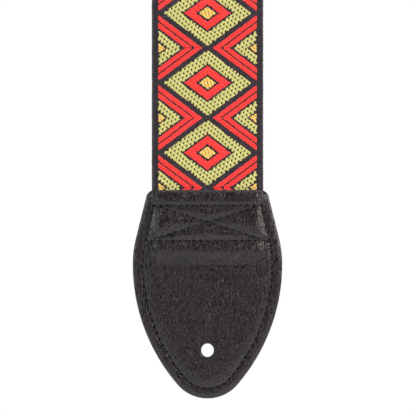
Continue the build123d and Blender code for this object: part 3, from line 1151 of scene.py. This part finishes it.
def tab_seam_lines():
    """The tab's seams as lines of points: sides and tip, top, bottom and the cross."""
    right = right_side(SEAM_INSET)
    right = right[right[:, 1] > SEAM_TOP_AT]
    half = right[0][0]
    bottom_half = np.interp(SEAM_BOTTOM_AT, right[:, 1], right[:, 0])
    cross_end, cross_at = half * CROSS_SHARE, SEAM_BOTTOM_AT - CROSS_LIFT
    return [
        np.concatenate([right, (right[::-1] * [-1, 1])[1:]]),
        line((-half, SEAM_TOP_AT), (half, SEAM_TOP_AT)),
        line((-bottom_half, SEAM_BOTTOM_AT), (bottom_half, SEAM_BOTTOM_AT)),
        line((-half, SEAM_TOP_AT), (cross_end, cross_at)),
        line((half, SEAM_TOP_AT), (-cross_end, cross_at)),
    ]


def keyhole():
    """The button hole and the slit above it, as a closed loop."""
    half = SLIT_WIDTH / 2
    lift = math.asin(half / HOLE_RADIUS)
    round_hole = arc((0.0, HOLE_AT), HOLE_RADIUS, -math.pi / 2 + lift, 1.5 * math.pi - lift, 0.5 * MM)
    round_hole[:, 0] *= HOLE_NARROWING
    top = HOLE_AT - HOLE_RADIUS - SLIT_LENGTH
    left = line(round_hole[-1], (-half, top), 0.5 * MM)[1:]
    right = line((half, top), round_hole[0], 0.5 * MM)[:-1]
    return np.concatenate([round_hole, left, right])


def inside(points, loop):
    """Which points lie inside a closed loop."""
    x, y = points[:, 0][:, None], points[:, 1][:, None]
    ax, ay = loop[:, 0], loop[:, 1]
    bx, by = np.roll(ax, -1), np.roll(ay, -1)
    crosses = (ay > y) != (by > y)
    with np.errstate(divide="ignore", invalid="ignore"):
        at = ax + (y - ay) / (by - ay) * (bx - ax)
    return (crosses & (x < at)).sum(axis=1) % 2 == 1


def nearest(points, places):
    """Distance from each point to the nearest of the places."""
    best = np.full(len(points), np.inf)
    for start in range(0, len(places), 200):
        chunk = places[start:start + 200]
        gap = np.linalg.norm(points[:, None, :] - chunk[None, :, :], axis=2).min(axis=1)
        best = np.minimum(best, gap)
    return best


def resample(points, count=None, step=None):
    """Evenly spaced places along a line of points: so many, or about a step apart."""
    run = np.concatenate([[0.0], np.cumsum(np.linalg.norm(np.diff(points, axis=0), axis=1))])
    s = np.linspace(0.0, run[-1], count or max(2, int(run[-1] / step) + 1))
    return np.stack([np.interp(s, run, points[:, 0]), np.interp(s, run, points[:, 1])], axis=-1)


def fade(value, start, stop):
    t = np.clip((value - start) / (stop - start), 0.0, 1.0)
    return 1.0 - t * t * (3.0 - 2.0 * t)


def core_rise(x, d, core, spare=POCKET_SPARE, slope=SLOPE_BESIDE):
    """How far the strap's end lifts the leather, half of its thickness on each side."""
    half_core = STRAP_WIDTH / 2 + spare
    beside = fade(np.abs(x), half_core, half_core + slope)
    below = fade(d, POCKET_DEPTH - SLOPE_LEAD, POCKET_DEPTH + SLOPE_BELOW)
    return core / 2 * beside * below


def outer_face(x, d, core):
    """Height of the leather's outer face, before its seams draw it in."""
    return core_rise(x, d, core, OUTER_SPARE, OUTER_SLOPE) + LEATHER_THICK


def wrinkles(x, d, seed):
    """Slow uneven swells of the leather, drawn out down the tab."""
    rng = np.random.default_rng(seed)
    height = np.zeros_like(x)
    for _ in range(WRINKLE_COUNT):
        across, down = rng.uniform(120, 620), rng.uniform(30, 190)
        phase, sway = rng.uniform(0, math.tau, 2)
        height += np.sin(x * across + d * down * rng.choice([-1, 1]) + phase + np.sin(d * 160 + sway))
    return height / WRINKLE_COUNT


def flat_panel(rim, hole):
    """A panel laid flat, as triangles: places (x, d) and faces."""
    loops = [rim, rounded_outline(0.3 * MM), rounded_outline(0.75 * MM), hole]
    spacing = leather().grid
    columns = np.arange(-TAB_HALF, TAB_HALF, spacing)
    rows = np.arange(0.0, TAB_LENGTH, spacing * math.sqrt(3) / 2)
    grid = np.array([(x + (k % 2) * spacing / 2, d) for k, d in enumerate(rows) for x in columns])
    grid = grid[inside(grid, rounded_outline(1.25 * MM)) & ~inside(grid, hole)]
    grid = grid[nearest(grid, hole) > spacing * 0.6]
    edges, start = [], 0
    for loop in loops:
        ring = list(range(start, start + len(loop)))
        edges += zip(ring, ring[1:] + ring[:1])
        start += len(loop)
    found = geometry.delaunay_2d_cdt([Vector(p) for p in np.concatenate(loops + [grid])], edges, [], 0, 1e-7)
    flat, faces = np.array([tuple(v) for v in found[0]]), np.array(found[2])
    middles = flat[faces].mean(axis=1)
    faces = faces[inside(middles, rim) & ~inside(middles, hole)]
    used, index = np.unique(faces, return_inverse=True)
    return flat[used], index.reshape(faces.shape)


def panel_heights(flat, rim, hole, core, seed):
    """Height of a panel's outer face: drawn in at its seams, uneven, and rounded at its rim and its hole."""
    x, d = flat.T
    gap = nearest(flat, np.concatenate([resample(points, step=0.4 * MM) for points in tab_seam_lines()]))
    from_rim, from_hole = (
        nearest(flat, resample(np.vstack([loop, loop[:1]]), step=0.25 * MM)) for loop in (rim, hole)
    )
    sink = MARGIN_SINK * fade(from_rim, SEAM_INSET - MARGIN_SLOPE, SEAM_INSET + MARGIN_SLOPE)
    top = outer_face(x, d, core) + PUFF - sink
    top -= (SEAM_DEPTH - sink) * np.exp(-(gap / SEAM_REACH) ** 1.5)
    top -= GROOVE_DEPTH * np.exp(-(gap / GROOVE_REACH) ** 2)
    top += WRINKLE_HEIGHT * wrinkles(x, d, seed) * fade(-from_rim, -WRINKLE_FADE, 0.0)
    under_rim = np.clip(1.0 - from_rim / RIM_WIDTH, 0.0, 1.0)
    top -= RIM_DROP * (1.0 - np.sqrt(1.0 - 0.98 * under_rim ** 2))
    lip = np.clip(HOLE_LIP - from_hole, 0.0, HOLE_LIP)
    return top - HOLE_LIP + np.sqrt(HOLE_LIP ** 2 - lip ** 2)


def panel_mesh(core, seed):
    """A leather panel as a closed mesh: places (x, d, height above the joint) and faces."""
    rim, hole = rounded_outline(0.0), keyhole()
    flat, triangles = flat_panel(rim, hole)
    x, d = flat.T
    outer = np.stack([x, d, panel_heights(flat, rim, hole, core, seed)], axis=-1)
    beside_slit = (d < HOLE_AT - HOLE_RADIUS) & (d > POCKET_DEPTH + SLOPE_BELOW)
    cut = fade(np.abs(x), 0.2 * MM, 1.2 * MM) * beside_slit
    inner = np.stack([x + SLIT_BACK_WIDTH * cut, d, core_rise(x, d, core) + 0.01 * MM], axis=-1)
    count = len(flat)
    faces = [tuple(face) for face in triangles]
    sides = {side: None for face in faces for side in zip(face, face[1:] + face[:1])}
    walls = [(a + count, b + count, b, a) for a, b in sides if (b, a) not in sides]
    lower = [tuple(k + count for k in reversed(face)) for face in faces]
    return np.concatenate([outer, inner]), faces + lower + walls


class Side:
    """One face of a tab: where its panel's x, d and height lie in the row frame."""

    def __init__(self, top_z, middle_y, outward):
        self.top_z, self.middle_y, self.outward = top_z, middle_y, outward

    def place(self, points):
        x, d, height = np.asarray(points).T
        return np.stack([-x * self.outward, self.middle_y + self.outward * height, self.top_z - d], axis=-1)

    def turn(self):
        return math.pi / 2 if self.outward < 0 else -math.pi / 2


def make_panel(name, side, core, body, node, seed):
    points, faces = panel_mesh(core, seed)
    mesh = mesh_from(name, side.place(points), faces)
    piece = new_object(name, mesh, pebbled_leather())
    mesh.set_sharp_from_angle(angle=CREASE_ANGLE)
    settle(piece, riding(body), node)


def stitch_tab(name, side, core, body, node):
    """Thread of one face of a tab, and dark discs on its needle holes as painted shadow."""
    pitch = leather().stitch_pitch
    strand = strand_mesh(7, BOWED)
    pricks, middles, leans = [], [], []
    for points in tab_seam_lines():
        run = np.linalg.norm(np.diff(points, axis=0), axis=1).sum()
        places = resample(points, count=max(2, round(run / pitch)) + 1)
        step = np.diff(places, axis=0)
        pricks.append(places)
        middles.append((places[1:] + places[:-1]) / 2)
        leans.append(np.arctan2(step[:, 0], step[:, 1]))
    pricks, middles, leans = np.concatenate(pricks), np.concatenate(middles), np.concatenate(leans)

    def sunk(places, depth):
        """Places on the leather under a seam, as points a depth below it."""
        height = outer_face(*places.T, core) + PUFF - SEAM_DEPTH - GROOVE_DEPTH - depth
        return side.place(np.column_stack([places, height]))

    thread = lay(f"{name}_stitches", sunk(middles, 0.02 * MM), pitch * 0.86, side.turn(), leans, strand,
                 leather().thread_width, THREAD_HEIGHT, sewing_thread(), 140)
    settle(thread, riding(body), node)
    # Dark discs on the needle holes: painted shadow of the holes' insides.
    dark = lay(f"{name}_needle_holes", sunk(pricks, 0.05 * MM), PRICK_LENGTH, side.turn(), 0.0, strand,
               PRICK_WIDTH, THREAD_HEIGHT, painted_hole_shadow(), 150)
    settle(dark, riding(body))


def make_tabs():
    tabs = (
        ("front_tab", TAB_Z, TAB_BACK_Y, STRAP_THICK),
        ("tail_tab", TAIL_TAB_Z, RING_Y, 2 * BACKING_THICK),
    )
    for seed, (tab, top_z, middle_y, core) in enumerate(tabs, start=3):
        for label, outward, thread in (("face", -1, "needle"), ("back", 1, "bobbin")):
            side, name = Side(top_z, middle_y, outward), f"{tab}_{label}"
            make_panel(f"{name}_panel", side, core, tab, f"{name}_leather", seed)
            stitch_tab(name, side, core, tab, f"{tab}_{thread}_thread")


def finish_hardware():
    for node, finish in (("slide", moulded_plastic()), ("ring", coated_wire())):
        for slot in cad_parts[node].material_slots:
            slot.material = finish


# The stage.

WARM, COOL, WHITE = (1.0, 0.95, 0.88), (0.88, 0.94, 1.0), (1.0, 1.0, 1.0)
TAB_TOP = (0.0, 0.0, TAB_Z)
# Each light's place, what it is turned to, its two sizes, its power in watts and its tint.
LIGHTS = {
    "right_light": ((1.40, -0.50, TAB_Z + 0.40), TAB_TOP, (0.5, 0.7), 24, WARM),
    "left_light": ((-1.45, -0.42, TAB_Z + 0.30), TAB_TOP, (0.5, 0.7), 14, COOL),
    "top_light": ((0.1, -0.70, TAB_Z + 1.5), TAB_TOP, (1.2, 0.4), 8, COOL),
    "back_light": ((0.6, 2.2, TAB_Z + 1.3), TAB_TOP, (1.4, 1.4), 30, WHITE),
    "floor_light": ((0.0, 0.3, 3.2), (0.0, 0.3, 0.0), (3.0, 3.0), 170, WHITE),
}
WORLD_STRENGTH = 0.11
FLOOR_SIDES = 96
SENSOR_WIDTH = 36.0
CAMERA_ASIDE = 0.23 * MM


def make_floor(kit):
    drop = CAD_BOX[0].z - kit.floor_drop
    angles = [math.tau * k / FLOOR_SIDES for k in range(FLOOR_SIDES)]
    points = [(kit.floor_radius * math.cos(a), kit.floor_radius * math.sin(a), drop) for a in angles]
    new_object("floor", mesh_from("floor", points, [tuple(range(FLOOR_SIDES))]), floor_paper())


def make_lights():
    for name, (place, aim, size, power, tint) in LIGHTS.items():
        lamp = bpy.data.lights.new(name, "AREA")
        lamp.shape = "RECTANGLE"
        lamp.size, lamp.size_y = size
        lamp.energy = power
        lamp.color = tint
        obj = new_object(name, lamp)
        obj.location = place
        obj.rotation_euler = (Vector(aim) - Vector(place)).to_track_quat("-Z", "Y").to_euler()


def make_world():
    """A white background that lights the strap far less than the camera sees."""
    world = bpy.data.worlds.new("studio")
    bpy.context.scene.world = world
    world.use_nodes = True
    world.node_tree.nodes.clear()
    graph = Graph(world.node_tree)
    seen = graph.add("ShaderNodeLightPath", None, None, "Is Camera Ray")
    around, behind = (
        graph.add("ShaderNodeBackground", None, {"Color": shade(WHITE), "Strength": strength})
        for strength in (WORLD_STRENGTH, 1.0)
    )
    blended = graph.add("ShaderNodeMixShader", None, {0: seen, 1: around, 2: behind})
    graph.add("ShaderNodeOutputWorld", None, {"Surface": blended})
    bpy.context.scene.view_settings.view_transform = "Standard"


def make_camera(kit):
    lens = bpy.data.cameras.new("camera")
    lens.sensor_width = SENSOR_WIDTH
    lens.lens = lens.sensor_width * kit.camera_distance / kit.view_height
    lens.clip_end = 100.0
    obj = new_object("camera", lens)
    obj.location = (CAMERA_ASIDE, TAB_FACE_Y - kit.camera_distance, TAB_Z - kit.view_below_tab)
    obj.rotation_euler = (math.pi / 2, 0.0, 0.0)
    bpy.context.scene.camera = obj


# Operators and panel.

class STRAP_OT_stage(bpy.types.Operator):
    """Set the floor, the lights and the camera"""

    bl_idname = "strap.stage"
    bl_label = "Stage"

    def execute(self, context):
        make_floor(context.scene.strap_stage)
        make_lights()
        make_world()
        make_camera(context.scene.strap_stage)
        return {"FINISHED"}


class STRAP_OT_webbing(bpy.types.Operator):
    """Weave the ribbon and its backing, a strip for each stretch"""

    bl_idname = "strap.webbing"
    bl_label = "Ribbon and Backing"

    def execute(self, context):
        weave_ribbon_and_backing()
        return {"FINISHED"}


class STRAP_OT_figure(bpy.types.Operator):
    """Float the coloured yarns of the lozenges over the ribbon"""

    bl_idname = "strap.figure"
    bl_label = "Woven Figure"

    def execute(self, context):
        weave_figure()
        return {"FINISHED"}


class STRAP_OT_seams(bpy.types.Operator):
    """Sew the strap's edges and its end, and turn the selvedges"""

    bl_idname = "strap.seams"
    bl_label = "Seams and Selvedges"

    def execute(self, context):
        sew_edges()
        turn_selvedges()
        sew_end_box()
        return {"FINISHED"}


class STRAP_OT_tail(bpy.types.Operator):
    """Loop the tail's webbing round the ring"""

    bl_idname = "strap.tail"
    bl_label = "Tail Webbing"

    def execute(self, context):
        loop_tail()
        return {"FINISHED"}


class STRAP_OT_tabs(bpy.types.Operator):
    """Cut and sew the two leather tabs"""

    bl_idname = "strap.tabs"
    bl_label = "Leather Tabs"

    def execute(self, context):
        make_tabs()
        return {"FINISHED"}


class STRAP_OT_hardware(bpy.types.Operator):
    """Finish the slide and the ring"""

    bl_idname = "strap.hardware"
    bl_label = "Slide and Ring"

    def execute(self, context):
        finish_hardware()
        return {"FINISHED"}


class STRAP_PT_panel(bpy.types.Panel):
    """The strap's settings and its steps"""

    bl_idname = "STRAP_PT_panel"
    bl_label = "Guitar Strap"
    bl_space_type = "VIEW_3D"
    bl_region_type = "UI"
    bl_category = "Strap"

    def draw(self, context):
        for step in STEPS:
            self.layout.operator(step.bl_idname)
        for key, group in SETTINGS.items():
            box = self.layout.box()
            box.label(text=group.__doc__)
            for name in group.__annotations__:
                box.prop(getattr(context.scene, key), name)


STEPS = (
    STRAP_OT_stage,
    STRAP_OT_webbing,
    STRAP_OT_figure,
    STRAP_OT_seams,
    STRAP_OT_tail,
    STRAP_OT_tabs,
    STRAP_OT_hardware,
)
CLASSES = (*SETTINGS.values(), *STEPS, STRAP_PT_panel)


def register():
    for each in CLASSES:
        bpy.utils.register_class(each)
    for name, group in SETTINGS.items():
        setattr(bpy.types.Scene, name, bpy.props.PointerProperty(type=group))


def unregister():
    for name in SETTINGS:
        delattr(bpy.types.Scene, name)
    for each in reversed(CLASSES):
        bpy.utils.unregister_class(each)


def main():
    register()
    for step in STEPS:
        area, name = step.bl_idname.split(".")
        if getattr(getattr(bpy.ops, area), name)() != {"FINISHED"}:
            raise RuntimeError(f"{step.bl_label} did not finish")


if __name__ == "__main__":
    main()
